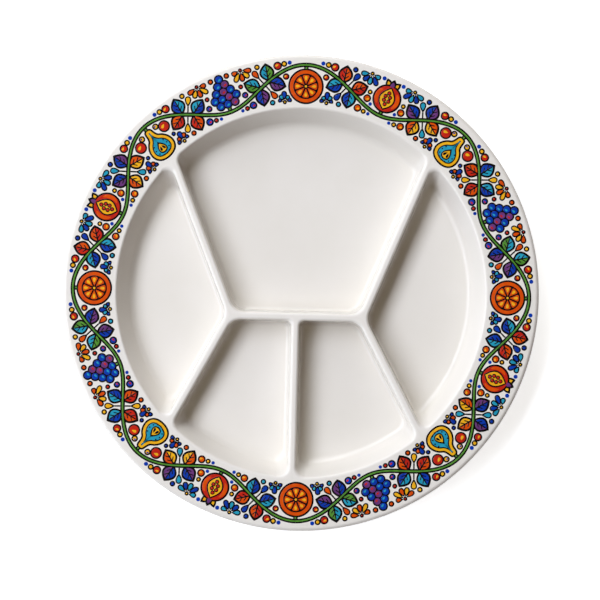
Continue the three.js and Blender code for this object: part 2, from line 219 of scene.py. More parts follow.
class Graph:
    """Short calls that put nodes into a node tree and join them."""

    def __init__(self, tree: NodeTree) -> None:
        """Works on a tree, from which the nodes already there are taken out."""
        self.tree = tree
        tree.nodes.clear()

    def node(self, kind: str, inputs: dict[str | int, object] | None = None, **settings: object) -> bpy.types.Node:
        """Adds a node.

        Args:
            kind: Blender's name of the node.
            inputs: Sockets to join to, or values to set, by the input's name or number.
            settings: The node's own properties.

        Returns:
            The node.
        """
        made = self.tree.nodes.new(kind)
        for name, value in settings.items():
            setattr(made, name, value)
        for name, value in (inputs or {}).items():
            if isinstance(value, Socket):
                self.tree.links.new(value, made.inputs[name])
            else:
                made.inputs[name].default_value = value
        return made

    def mix(self, share: object, first: object, second: object) -> Socket:
        """A colour between two, by a share from 0 to 1."""
        return self.node("ShaderNodeMix", {0: share, 6: first, 7: second}, data_type="RGBA").outputs[2]

    def math(self, operation: str, first: object, second: object) -> Socket:
        """A sum, product or the like of two values."""
        return self.node("ShaderNodeMath", {0: first, 1: second}, operation=operation).outputs[0]

    def span(self, value: object, low: float, high: float, start: float = 0.0, end: float = 1.0) -> Socket:
        """A value brought from low and high to start and end, and held there."""
        inputs = {"Value": value, "From Min": low, "From Max": high, "To Min": start, "To Max": end}
        return self.node("ShaderNodeMapRange", inputs).outputs[0]

    def effect(self, group: NodeTree, **inputs: object) -> bpy.types.Node:
        """A shared group with its inputs, which reads Object coordinates."""
        at = self.node("ShaderNodeTexCoord").outputs["Object"]
        return self.node("ShaderNodeGroup", {"Vector": at, **inputs}, node_tree=group)

    def coat(
        self, color: Socket, roughness: Socket, height: Socket, relief: tuple[float, float], specular: float = 0.5
    ) -> None:
        """Adds the shader of a glossy coat, and the material's output.

        Args:
            color: The coat's colour.
            roughness: Its roughness.
            height: The height of its surface.
            relief: Distance in metres that a height of 1 stands for, and the bump's strength.
            specular: Level of its mirror reflection.
        """
        bump = self.node("ShaderNodeBump", {"Height": height, "Distance": relief[0], "Strength": relief[1]})
        inputs = {"Base Color": color, "Roughness": roughness, "Specular IOR Level": specular}
        shader = self.node("ShaderNodeBsdfPrincipled", {**inputs, "Normal": bump.outputs[0]})
        self.node("ShaderNodeOutputMaterial", {"Surface": shader.outputs[0]})


def new_material(name: str, shown: Color) -> tuple[Material, Graph]:
    """A material without nodes, with the colour that the viewport shows, and its graph."""
    made = bpy.data.materials.new(name)
    made.use_nodes = True
    made.diffuse_color = shown
    return made, Graph(made.node_tree)


class Effects:
    """Shader node groups that the finishes share."""

    cloud_span = (0.32, 0.68)
    pit_share = 0.12

    def __init__(self) -> None:
        """Builds each group once."""
        self.mottle = self._mottle()
        self.ripple = self._ripple()

    @staticmethod
    def _group(name: str, inputs: dict[str, str], outputs: dict[str, str]) -> tuple[Graph, bpy.types.NodeOutputs]:
        """An empty group.

        Args:
            name: The group's name.
            inputs: Kind of each input's socket, by its name.
            outputs: Kind of each output's socket, by its name.

        Returns:
            The group's graph, and the sockets that give its inputs.
        """
        tree = bpy.data.node_groups.new(name, "ShaderNodeTree")
        for way, sockets in (("INPUT", inputs), ("OUTPUT", outputs)):
            for label, kind in sockets.items():
                tree.interface.new_socket(label, in_out=way, socket_type=f"NodeSocket{kind}")
        graph = Graph(tree)
        return graph, graph.node("NodeGroupInput").outputs

    def _mottle(self) -> NodeTree:
        """Cloudy change between a thin and a heavy coat, as a brush and the kiln leave it."""
        inputs = {"Vector": "Vector", "Thin": "Color", "Heavy": "Color", "Scale": "Float"}
        graph, given = self._group("kiln_mottle", inputs, {"Color": "Color", "Share": "Float"})
        place = {"Vector": given["Vector"], "Scale": given["Scale"]}
        clouds = graph.node("ShaderNodeTexNoise", {**place, "Detail": 3.0, "Roughness": 0.55})
        share = graph.span(clouds.outputs["Fac"], *self.cloud_span)
        color = graph.mix(share, given["Thin"], given["Heavy"])
        graph.node("NodeGroupOutput", {"Color": color, "Share": share})
        return graph.tree

    def _ripple(self) -> NodeTree:
        """Height of the gentle waves that a molten glaze sets in, with finer pitting on them."""
        inputs = {"Vector": "Vector", "Wave": "Float", "Pitting": "Float"}
        graph, given = self._group("glaze_ripple", inputs, {"Height": "Float"})
        heights = []
        for size, detail in (("Wave", 1.0), ("Pitting", 2.0)):
            place = {"Vector": given["Vector"], "Scale": given[size]}
            heights.append(graph.node("ShaderNodeTexNoise", {**place, "Detail": detail}).outputs["Fac"])
        height = graph.math("ADD", heights[0], graph.math("MULTIPLY", heights[1], self.pit_share))
        graph.node("NodeGroupOutput", {"Height": height})
        return graph.tree


@dataclass(frozen=True)
class Enamel:
    """A bright enamel fired onto the glaze, a little uneven in its coat."""

    hue: Hue
    clouds: float = 260.0
    roughness: tuple[float, float] = (0.15, 0.25)
    wave: float = 420.0
    pitting: float = 2400.0
    relief: tuple[float, float] = (8e-6, 0.6)

    def material(self, effects: Effects) -> Material:
        """The enamel's material.

        Args:
            effects: The shared node groups.

        Returns:
            The material.
        """
        thin, heavy = (linear(tone) for tone in self.hue.value)
        made, graph = new_material(f"enamel_{self.hue.name.lower()}", thin)
        mottle = graph.effect(effects.mottle, Thin=thin, Heavy=heavy, Scale=self.clouds).outputs
        ripple = graph.effect(effects.ripple, Wave=self.wave, Pitting=self.pitting).outputs
        roughness = graph.span(mottle["Share"], 0, 1, *self.roughness)
        graph.coat(mottle["Color"], roughness, ripple["Height"], self.relief)
        return made


@dataclass(frozen=True)
class WareGlaze:
    """Warm white gloss glaze: it runs thin over edges, where its lighter tone is also a painted highlight, pools in
    hollows, and leaves the foot's standing edge bare.
    """

    body: Tone = (232, 227, 220)
    cloud: Tone = (229, 224, 216)
    # Lighter tone where the glaze runs thin on edges and the lip: thinner glaze and a painted highlight.
    edge: Tone = (235, 230, 223)
    pool: Tone = (230, 225, 217)
    clay: Tone = (214, 200, 180)
    clay_dark: Tone = (196, 180, 158)
    clouds: float = 38.0
    clay_clouds: float = 900.0
    roughness: tuple[float, float] = (0.12, 0.16)
    clay_dullness: float = 0.7
    specular: float = 0.3
    wave: float = 70.0
    pitting: float = 1500.0
    relief: tuple[float, float] = (2.5e-5, 0.25)

    def material(self, effects: Effects) -> Material:
        """The glaze's material, which reads how the glaze lies from the plate's own attributes.

        Args:
            effects: The shared node groups.

        Returns:
            The material.
        """
        body, cloud, edge, pool = (linear(tone) for tone in (self.body, self.cloud, self.edge, self.pool))
        clay, clay_dark = linear(self.clay), linear(self.clay_dark)
        made, graph = new_material("ware_glaze", body)
        names = ("glaze_thin_highlight", "glaze_pool", "bare_clay")
        thin, pooled, bare = (graph.node("ShaderNodeAttribute", attribute_name=name).outputs["Fac"] for name in names)
        glaze = graph.effect(effects.mottle, Thin=body, Heavy=cloud, Scale=self.clouds).outputs
        foot = graph.effect(effects.mottle, Thin=clay, Heavy=clay_dark, Scale=self.clay_clouds).outputs
        ripple = graph.effect(effects.ripple, Wave=self.wave, Pitting=self.pitting).outputs
        # Edges and the lip take the lighter edge tone: thin glaze and a painted highlight.
        color = graph.mix(pooled, graph.mix(thin, glaze["Color"], edge), pool)
        gloss = graph.span(glaze["Share"], 0, 1, *self.roughness)
        roughness = graph.math("ADD", gloss, graph.math("MULTIPLY", bare, self.clay_dullness))
        graph.coat(graph.mix(bare, color, foot["Color"]), roughness, ripple["Height"], self.relief, self.specular)
        return made


@dataclass(frozen=True)
class Casting:
    """Sizes of the plate's section and of its dividers, in millimetres and radians."""

    plate_radius: float = 125.0
    well_radius: float = 97.0
    rim_slope: float = np.radians(1.5)
    rim_thickness: float = 4.4
    well_depth: float = 14.0
    wall_thickness: float = 5.0
    wall_draft: float = np.radians(26)
    wall_fillet: float = 4.2
    base_thickness: float = 5.0
    foot_height: float = 3.0
    foot_width: float = 3.6
    foot_flare: float = 1.6
    foot_setback: float = 9.5
    foot_rounding: float = 0.7
    foot_blend: float = 1.2
    heel_rounding: float = 7.0
    neck_rounding: float = 6.0
    divider_top: float = 3.9
    divider_draft: float = np.radians(5)
    divider_fillet: float = 2.2
    upper_shift: float = -1.8
    lower_shift: float = -2.5
    cross_y: float = -12.4
    cross_half_span: float = 34.4
    upper_angle: float = np.radians(22)
    lower_angle: float = np.radians(28.3)
    edge_radius: float = 1.5
    junction_radius: float = 8.5
    side_radius: float = 10.0
    tee_radius: float = 3.2
    rim_corner_radius: float = 5.6
    tip_radius: float = 4.2

    @property
    def floor_z(self) -> float:
        """Height of the compartments' floors."""
        return self.foot_height + self.base_thickness

    @property
    def land_z(self) -> float:
        """Height of the dividers' tops and of the well's edge."""
        return self.floor_z + self.well_depth

    @property
    def rim_start(self) -> float:
        """Radius at which the rim's rise begins."""
        return self.well_radius + self.edge_radius

    def rim_top(self, radius: float | Array) -> float | Array:
        """Height of the rim's upper face at a radius."""
        return self.land_z + (radius - self.rim_start) * np.tan(self.rim_slope)

    def wall_inset(self, depth: float, draft: float, fillet: float) -> float:
        """How far a compartment's wall stands in at a depth: rounded edge, straight draft, then floor fillet.

        Args:
            depth: Below the land.
            draft: The wall's lean from the vertical.
            fillet: Radius between the wall and the floor.

        Returns:
            Distance in from where the wall's straight part would reach the land.
        """
        half_turn = (np.pi / 2 - draft) / 2
        edge = self.edge_radius
        if depth < edge * (1 - np.sin(draft)):
            return float(np.sqrt(edge**2 - (edge - depth) ** 2) - edge * np.tan(half_turn))
        if depth < self.well_depth - fillet * (1 - np.sin(draft)):
            return float(depth * np.tan(draft))
        drop = fillet - (self.well_depth - depth)
        floor_edge = self.well_depth * np.tan(draft) + fillet * np.tan(half_turn)
        return float(floor_edge - np.sqrt(max(0.0, fillet**2 - drop**2)))

    def divider(self, x: float, dx: float, dy: float) -> Line:
        """A divider's middle line, from a point on the cross divider along a direction."""
        return np.array([x, self.cross_y]), np.array([dx, dy])


WELL = None


@dataclass
class Compartment:
    """One compartment: its sides, anticlockwise, each with the corner radius at its end."""

    casting: Casting
    sides: list[tuple[Line | None, float]]

    def nearest(self, points: Array, depth: float) -> Array:
        """Points brought to the nearest place on the compartment's rounded outline at a depth.

        The outline is the sides moved in by the walls' insets, joined by corner arcs. Each point is tried on
        each straight side, held between its ends, and on each arc that faces it, and takes the closest.

        Args:
            points: In plan, shaped (count, 2), outside the outline.
            depth: Below the land.

        Returns:
            Points in plan, shaped (count, 2).
        """
        tries, gaps = [], []
        for kind, part in self._outline(depth):
            if kind == "line":
                start, end = part
                run = end - start
                share = np.clip((points - start) @ run / (run @ run), 0, 1)
                found = start + share[:, None] * run
                gap = np.linalg.norm(points - found, axis=1)
            else:
                middle, radius, start, sweep = part
                away = points - middle
                angle = np.arctan2(away[:, 1], away[:, 0])
                found = middle + radius * direction(angle)
                gap = np.linalg.norm(points - found, axis=1)
                gap = np.where((angle - start) % TURN <= sweep, gap, np.inf)
            tries.append(found)
            gaps.append(gap)
        best = np.argmin(np.stack(gaps), axis=0)
        return np.stack(tries)[best, np.arange(len(points))]

    def _outline(self, depth: float) -> list[tuple[str, tuple]]:
        """The outline's straight sides, as start and end, and its arcs, as middle, radius, start angle and sweep.

        Args:
            depth: Below the land.

        Returns:
            Pairs of "line" or "arc" and its values.
        """
        casting = self.casting
        inset = casting.divider_top / 2 + casting.wall_inset(depth, casting.divider_draft, casting.divider_fillet)
        well = casting.well_radius - casting.wall_inset(depth, casting.wall_draft, casting.wall_fillet)
        corners = []
        for i, (side, radius) in enumerate(self.sides):
            after = self.sides[(i + 1) % len(self.sides)][0]
            if side is WELL:
                middle = self._on_circle(self._moved(after, inset + radius), well - radius, -1)
            elif after is WELL:
                middle = self._on_circle(self._moved(side, inset + radius), well - radius, 1)
            else:
                middle = self._crossing(self._moved(side, inset + radius), self._moved(after, inset + radius))
            outward = bearing_of(middle)
            start = outward if side is WELL else self._square(side)
            end = outward if after is WELL else self._square(after)
            corners.append((middle, radius, start, (end - start) % TURN))
        parts: list[tuple[str, tuple]] = [("arc", corner) for corner in corners]
        for i, (side, _) in enumerate(self.sides):
            middle, radius, start, sweep = corners[i - 1]
            if side is WELL:
                first = bearing_of(middle)
                parts.append(("arc", (np.zeros(2), well, first, (bearing_of(corners[i][0]) - first) % TURN)))
            else:
                begin = middle + radius * direction(start + sweep)
                middle, radius, start, _ = corners[i]
                parts.append(("line", (begin, middle + radius * direction(start))))
        return parts

    @staticmethod
    def _moved(line: Line, distance: float) -> Line:
        """The line at a distance on the left of another."""
        return line[0] + distance * np.array([-line[1][1], line[1][0]]), line[1]

    @staticmethod
    def _square(line: Line) -> float:
        """Angle of the direction square to a line, on its right."""
        return float(np.arctan2(-line[1][0], line[1][1]))

    @staticmethod
    def _crossing(one: Line, other: Line) -> Array:
        """Where two lines cross."""
        along = np.linalg.solve(np.stack([one[1], -other[1]], axis=1), other[0] - one[0])[0]
        return one[0] + along * one[1]

    @staticmethod
    def _on_circle(line: Line, radius: float, way: int) -> Array:
        """Where a line meets a circle about the axis, at its last crossing for a way of 1 and its first for -1."""
        foot = line[0] - line[1] * (line[0] @ line[1])
        return foot + way * np.sqrt(radius**2 - foot @ foot) * line[1]


@dataclass
class PlateBody:
    """The pressed and glazed plate, from the rim to the foot, as one closed skin.

    Beside the steps of its grid it has the glaze's ways. On a compartment's edge the glaze is thinnest, and its tone
    lightest as a painted highlight, at a share of the edge's height, and thickens over another share. It pools over a
    share of the fillet's height, and on each ring of the floor, drawn in by a share, some of it is left. It is thin on
    the lip by a share, with the same painted highlight, and the foot is bare from its standing edge up to a height,
    over a stretch.
    """

    casting: Casting = field(default_factory=Casting)
    fine: float = 0.5
    coarse: float = 1.5
    reach: float = 9.0
    edge_steps: int = 7
    wall_steps: int = 3
    fillet_steps: int = 9
    rim_steps: int = 8
    lip_steps: int = 18
    under_steps: int = 6
    neck_steps: int = 8
    heel_steps: int = 9
    foot_steps: int = 6
    base_steps: int = 5
    base_start: float = 8.0
    edge_highlight_band: tuple[float, float] = (0.3, 0.8)
    pool_height: float = 1.25
    floor_rings: tuple[tuple[float, float], ...] = (
        (0.985, 0.9), (0.93, 0.35), (0.8, 0.0), (0.5, 0.0), (0.2, 0.0), (0.0, 0.0)
    )
    lip_highlight: float = 0.6
    bare_foot: tuple[float, float] = (0.08, 0.3)

    def build(self, glaze: Material) -> Piece:
        """Builds the plate in place of its solid.

        Args:
            glaze: The ware's finish.

        Returns:
            The piece.
        """
        surface = Surface()
        cells, circle = self._cells()
        for compartment, border in cells:
            self._press(surface, compartment, border)
        self._turn(surface, circle)
        piece = surface.piece("plate_body_glazed", [glaze])
        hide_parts("plate_body")
        return piece

    def _graded(self, length: float) -> Array:
        """Shares of a length, closer together near both its ends.

        The density of the steps falls from fine at an end to coarse over the reach, as a bell curve does.

        Args:
            length: In millimetres.

        Returns:
            Rising shares from 0 to 1.
        """
        at = np.linspace(0, length, 2001)
        bell = np.exp(-((at / self.reach) ** 2)) + np.exp(-(((length - at) / self.reach) ** 2))
        density = 1 / self.coarse + (1 / self.fine - 1 / self.coarse) * np.minimum(bell, 1)
        total = np.concatenate([[0], np.cumsum((density[1:] + density[:-1]) / 2 * np.diff(at))])
        steps = int(np.ceil(total[-1]))
        return np.interp(np.linspace(0, total[-1], steps + 1), total, at) / length

    def _between(self, start: Array, end: Array) -> Array:
        """Points on a straight stretch in plan, closer together near both its ends."""
        share = self._graded(float(np.linalg.norm(end - start)))[:, None]
        return start * (1 - share) + end * share

    def _cells(self) -> tuple[list[tuple[Compartment, Array]], Array]:
        """The compartments, each with the border of the cell that it lies in, and the circle where the rim begins.

        A cell reaches to the middle of the dividers around it, so neighbouring cells share their borders.

        Returns:
            Pairs of a compartment and its cell's border, shaped (count, 2) and anticlockwise, and the angles of
            the points on the circle.
        """
        c = self.casting
        half, upper, lower = c.cross_half_span, c.upper_shift, c.lower_shift
        up, low = c.upper_angle, c.lower_angle
        rays = {
            "upper_left": c.divider(upper - half, -np.sin(up), np.cos(up)),
            "upper_right": c.divider(upper + half, np.sin(up), np.cos(up)),
            "lower_left": c.divider(lower - half, -np.sin(low), -np.cos(low)),
            "lower_right": c.divider(lower + half, np.sin(low), -np.cos(low)),
            "centre": c.divider(lower, 0.0, -1.0),
        }
        cross = c.divider(lower, 1.0, 0.0)
        tee = np.array([lower, c.cross_y])
        left, right = ((upper + lower) / 2 + way * half for way in (-1, 1))
        joints = {"left": np.array([left, c.cross_y]), "right": np.array([right, c.cross_y]), "centre": tee}
        paths = {"cross_left": self._between(joints["left"], tee), "cross_right": self._between(tee, joints["right"])}
        ends = {}
        for name, (start, run) in rays.items():
            end = start + run * (-start @ run + np.sqrt((start @ run) ** 2 - start @ start + c.rim_start**2))
            paths[name] = self._between(joints[name.split("_")[-1]], end)
            ends[name] = bearing_of(end)
        order = ["upper_right", "upper_left", "lower_left", "centre", "lower_right"]
        arcs = {}
        for name, after in zip(order, order[1:] + order[:1]):
            sweep = (ends[after] - ends[name]) % TURN
            arcs[name] = ends[name] + self._graded(sweep * c.rim_start) * sweep
        back = {name: (line[0], -line[1]) for name, line in {**rays, "cross": cross}.items()}
        rim, tip, corner, junction, side = (
            c.rim_corner_radius, c.tip_radius, c.tee_radius, c.junction_radius, c.side_radius
        )
        plan = [
            (
                [(cross, junction), (rays["upper_right"], rim), (WELL, rim), (back["upper_left"], junction)],
                ["cross_left", "cross_right", "upper_right", "@upper_right", "-upper_left"],
            ),
            (
                [(rays["upper_left"], tip), (WELL, tip), (back["lower_left"], side)],
                ["upper_left", "@upper_left", "-lower_left"],
            ),
            (
                [(rays["lower_left"], rim), (WELL, rim), (back["centre"], corner), (back["cross"], junction)],
                ["lower_left", "@lower_left", "-centre", "-cross_left"],
            ),
            (
                [(rays["centre"], rim), (WELL, rim), (back["lower_right"], junction), (back["cross"], corner)],
                ["centre", "@centre", "-lower_right", "-cross_right"],
            ),
            (
                [(rays["lower_right"], tip), (WELL, tip), (back["upper_right"], side)],
                ["lower_right", "@lower_right", "-upper_right"],
            ),
        ]
        cells = []
        for sides, run in plan:
            border = []
            for step in run:
                if step[0] == "@":
                    border.append(c.rim_start * direction(arcs[step[1:]])[:-1])
                elif step[0] == "-":
                    border.append(paths[step[1:]][:0:-1])
                else:
                    border.append(paths[step][:-1])
            cells.append((Compartment(c, sides), np.concatenate(border)))
        return cells, np.concatenate([arcs[name][:-1] for name in order])

    def _press(self, surface: Surface, compartment: Compartment, border: Array) -> None:
        """Adds a cell: the dividers' land, then the compartment's wall down to its floor.

        Ring i of the skin is the cell's border brought to the nearest place on the compartment's outline at
        depth i, and the floor is the last ring drawn in to its middle.

        Args:
            surface: Skin under construction.
            compartment: The compartment in the cell.
            border: The cell's border in plan.
        """
        c = self.casting
        edge = c.edge_radius * (1 - np.sin(c.divider_draft))
        fillet = c.wall_fillet * (1 - np.sin(c.wall_draft))
        bends = [(c.divider_draft, c.divider_fillet), (c.wall_draft, c.wall_fillet)]
        levels = [np.linspace(edge, c.well_depth - fillet, self.wall_steps + 2)[1:-1]]
        for draft, radius in bends:
            turn = np.pi / 2 - draft
            levels.append(c.edge_radius * (1 - np.cos(np.linspace(0, 1, self.edge_steps) * turn)))
            levels.append(c.well_depth - radius * (1 - np.cos(np.linspace(1, 0, self.fillet_steps) * turn)))
        depths = np.unique(np.concatenate(levels).round(4))
        rings = [border] + [compartment.nearest(border, float(depth)) for depth in depths]
        heights = [c.land_z] + list(c.land_z - depths)
        # The glaze is thinnest near the top of a rounded edge, where the lighter edge tone is also a painted highlight.
        highlight_peak, highlight_spread = (share * edge for share in self.edge_highlight_band)
        thin = [0.0] + list(np.exp(-(((depths - highlight_peak) / highlight_spread) ** 2)))
        above = c.well_depth - depths
        pool = [0.0] + list(ease(1 - above / (fillet * self.pool_height)))
        middle = rings[-1].mean(axis=0)
        for share, left in self.floor_rings:
            rings.append(middle + share * (rings[len(depths)] - middle))
            heights.append(c.floor_z)
            thin.append(0.0)
            pool.append(left)
        plan = np.stack(rings)
        level = np.broadcast_to(np.array(heights)[:, None, None], (*plan.shape[:2], 1))
        values = {
            "glaze_thin_highlight": np.array(thin)[:, None],
            "glaze_pool": np.array(pool)[:, None],
            "bare_clay": np.zeros((len(rings), 1)),
        }
        surface.grid(np.concatenate([plan, level], axis=2), values=values)

    def _turn(self, surface: Surface, angles: Array) -> None:
        """Adds the rim, lip, underside and foot: the section turned about the axis.

        Args:
            surface: Skin under construction.
            angles: The turn's angles, which the well's edge already has.
        """
        section = self._section()
        radius, height, thin, bare = section.T
        plan = radius[:, None, None] * direction(angles)[None]
        level = np.broadcast_to(height[:, None, None], (*plan.shape[:2], 1))
        values = {
            "glaze_thin_highlight": thin[:, None],
            "glaze_pool": np.zeros((len(radius), 1)),
            "bare_clay": bare[:, None],
        }
        grid = np.concatenate([plan, level], axis=2)
        surface.grid(grid[::-1], values={name: value[::-1] for name, value in values.items()})

    def _section(self) -> Array:
        """The plate's section from the well's edge over the rim and lip, and back under it to the axis.

        Straight stretches join a half circle at the lip, bent curves at the neck and the heel, and rounded
        edges at the foot.

        Returns:
            Rows of radius, height, glaze thinness with its painted highlight, and bareness.
        """
        c = self.casting
        lip = c.rim_thickness / 2
        lip_radius = c.plate_radius - lip
        lip_z = c.rim_top(lip_radius) - lip / np.cos(c.rim_slope)
        drop = c.rim_thickness / np.cos(c.rim_slope)
        wall_top = c.well_radius + c.wall_thickness / np.cos(c.wall_draft)
        heel = wall_top - (c.land_z - c.foot_height) * np.tan(c.wall_draft)
        wall_rise, rim_rise = 1 / np.tan(c.wall_draft), np.tan(c.rim_slope)
        neck = (wall_top * wall_rise - c.rim_start * rim_rise - drop) / (wall_rise - rim_rise)
        up_wall = np.array([np.sin(c.wall_draft), np.cos(c.wall_draft)])
        neck_point = np.array([neck, c.rim_top(neck) - drop])
        heel_point = np.array([heel, c.foot_height])
        heel_start = heel - c.heel_rounding
        foot_out = heel_start - c.foot_setback - c.foot_flare
        foot_in = foot_out - c.foot_width
        under_rim = np.array([neck + c.neck_rounding, c.rim_top(neck + c.neck_rounding) - drop])
        turn = np.pi / 2 + c.rim_slope - np.linspace(0, np.pi, self.lip_steps + 1)
        round_lip = np.array([lip_radius, lip_z]) + lip * direction(turn)
        corners = [
            (foot_out + c.foot_flare, c.foot_height, c.foot_blend),
            (foot_out, 0.0, c.foot_rounding),
            (foot_in, 0.0, c.foot_rounding),
            (foot_in - c.foot_flare, c.foot_height, c.foot_blend),
        ]
        heel_end = np.array([heel_start, c.foot_height])
        parts = [
            self._straight((c.rim_start, c.land_z), round_lip[0], self.rim_steps)[:-1],
            round_lip,
            self._straight(round_lip[-1], under_rim, self.under_steps)[1:-1],
            self._bent(under_rim, neck_point, neck_point - c.neck_rounding * up_wall, self.neck_steps),
            self._bent(heel_point + c.heel_rounding * up_wall, heel_point, heel_end, self.heel_steps),
            self._rounded((heel_start, c.foot_height), corners, (0.0, c.foot_height)),
            self._straight((foot_in - self.base_start, c.foot_height), (0.0, c.foot_height), self.base_steps)[1:],
        ]
        line = np.concatenate(parts)
        radius, height = line.T
        # Thin glaze on the lip, whose lighter tone is also a painted highlight.
        thin = ease((radius - lip_radius) / lip) * self.lip_highlight
        bare = 1 - ease((height - self.bare_foot[0]) / self.bare_foot[1])
        return np.column_stack([line, thin, bare])

    @staticmethod
    def _straight(start: Point, end: Point, steps: int) -> Array:
        """Points on a straight stretch, both its ends among them."""
        share = np.linspace(0, 1, steps + 1)[:, None]
        return np.asarray(start) * (1 - share) + np.asarray(end) * share

    @staticmethod
    def _bent(start: Array, middle: Array, end: Array, steps: int) -> Array:
        """Points on a quadratic curve from start to end, drawn towards the middle point."""
        t = np.linspace(0, 1, steps + 1)[:, None]
        return (1 - t) ** 2 * start + 2 * t * (1 - t) * middle + t**2 * end

    def _rounded(self, before: Point, corners: list[tuple[float, float, float]], after: Point) -> Array:
        """A broken line whose corners are bent over a given distance.

        Args:
            before: The point that it comes from.
            corners: Radius and height of each corner, and how far the bend reaches from it.
            after: The point that it goes on to.

        Returns:
            Points of the bends, in order.
        """
        path = [np.array(p[:2], float) for p in [before, *corners, after]]
        parts = []
        for last, here, following, (_, _, reach) in zip(path, path[1:], path[2:], corners):
            back = (last - here) / np.linalg.norm(last - here)
            ahead = (following - here) / np.linalg.norm(following - here)
            parts.append(self._bent(here + reach * back, here, here + reach * ahead, self.foot_steps))
        return np.concatenate(parts)


@dataclass(frozen=True)
class RimBand:
    """The rim's printed band and the bays of its garland, in millimetres and radians."""

    casting: Casting = field(default_factory=Casting)
    margin: float = 0.5
    bays: int = 16
    vine_room: float = 4.6
    vine_width: float = 1.3
    stem_length: float = 1.2

    @property
    def inner(self) -> float:
        """Radius of the band's inner edge."""
        return self.casting.rim_start + self.margin

    @property
    def outer(self) -> float:
        """Radius of the band's outer edge."""
        return self.casting.plate_radius - self.casting.rim_thickness / 2 - self.margin

    @property
    def height(self) -> float:
        """Width of the band."""
        return self.outer - self.inner

    @property
    def middle(self) -> float:
        """Radius of the band's middle."""
        return (self.outer + self.inner) / 2

    @property
    def fruit_height(self) -> float:
        """Height of a fruit, from its tip at the band's edge to its top at the vine."""
        return self.height - self.vine_room

    @property
    def swing(self) -> float:
        """How far the vine swings to each side of the band's middle."""
        return self.height / 2 - self.vine_room + self.stem_length + self.vine_width / 2

    @property
    def bay_angle(self) -> float:
        """Angle of a bay about the axis."""
        return TURN / self.bays

    @property
    def pitch(self) -> float:
        """Length of a bay along the band's middle."""
        return self.bay_angle * self.middle

    @staticmethod
    def side(bay: int) -> int:
        """1 in an even bay, where the vine runs outside the fruit, and -1 in an odd one."""
        return 1 if bay % 2 == 0 else -1


def circle(at: Point, radius: float, count: int) -> Array:
    """Outline of a disc about a point."""
    return np.asarray(at) + radius * direction(np.arange(count) * TURN / count)


def drop(root: Point, bearing: float, length: float, width: float, count: int = 36) -> Array:
    """Outline of a drop: pointed at its root and round at its end.

    Along its bearing it is half the length times one less the cosine of the parameter, and across it a share of
    the width times the sine, drawn in towards the root by a power of the half parameter's sine.

    Args:
        root: The pointed end.
        bearing: Angle of its axis.
        length: From the point to the round end.
        width: At its broadest.
        count: Points of the outline.

    Returns:
        Points, shaped (count, 2), anticlockwise.
    """
    share, power = 0.62, 1.1
    t = np.arange(count) * TURN / count
    along = length / 2 * (1 - np.cos(t))
    across = -width * share * np.sin(t) * np.abs(np.sin(t / 2)) ** power
    return placed(np.stack([along, across], axis=1), root, bearing)


def bow(length: float, width: float) -> Array:
    """One edge of a leaf's blade, on the left of +X: a quadratic curve, broadest a little before its middle."""
    broadest = 0.45
    t = np.linspace(0, 1, 21)[:, None]
    return 2 * t * (1 - t) * np.array([broadest * length, width]) + t**2 * np.array([length, 0.0])


def lens(root: Point, bearing: float, length: float, width: float) -> Array:
    """Outline of a leaf's blade: two bows from its root to its tip."""
    left = bow(length, width)
    return placed(np.concatenate([left * [1, -1], left[-2:0:-1]]), root, bearing)


def wedge(tip: Array, middle: Array, bearing: float, radius: float, span: float) -> Array:
    """Outline of a round fruit's segment: two straight sides from a tip to an arc with soft corners.

    The arc is drawn in at its ends by a share of its radius, with the sixth power of the way from its middle.

    Args:
        tip: Where the sides meet.
        middle: The arc's middle.
        bearing: The segment's axis.
        radius: Of the arc.
        span: Angle between the arc's ends.

    Returns:
        Points, anticlockwise.
    """
    softness = 0.09
    way = np.linspace(-1, 1, 17)
    reach = radius * (1 - softness * way**6)
    return np.concatenate([tip[None], middle + reach[:, None] * direction(bearing + way * span / 2)])


def placed(points: Array, root: Point, bearing: float) -> Array:
    """Points turned by a bearing and moved to a root."""
    ahead = direction(bearing)
    return np.asarray(root) + points[:, :1] * ahead + points[:, 1:] * np.array([-ahead[1], ahead[0]])


def inset(outline: Array, distance: float) -> Array:
    """A closed anticlockwise outline with each point moved inwards, square to the outline there."""
    run = np.roll(outline, -1, axis=0) - np.roll(outline, 1, axis=0)
    run /= np.maximum(np.linalg.norm(run, axis=1, keepdims=True), 1e-9)
    return outline + distance * np.stack([-run[:, 1], run[:, 0]], axis=1)


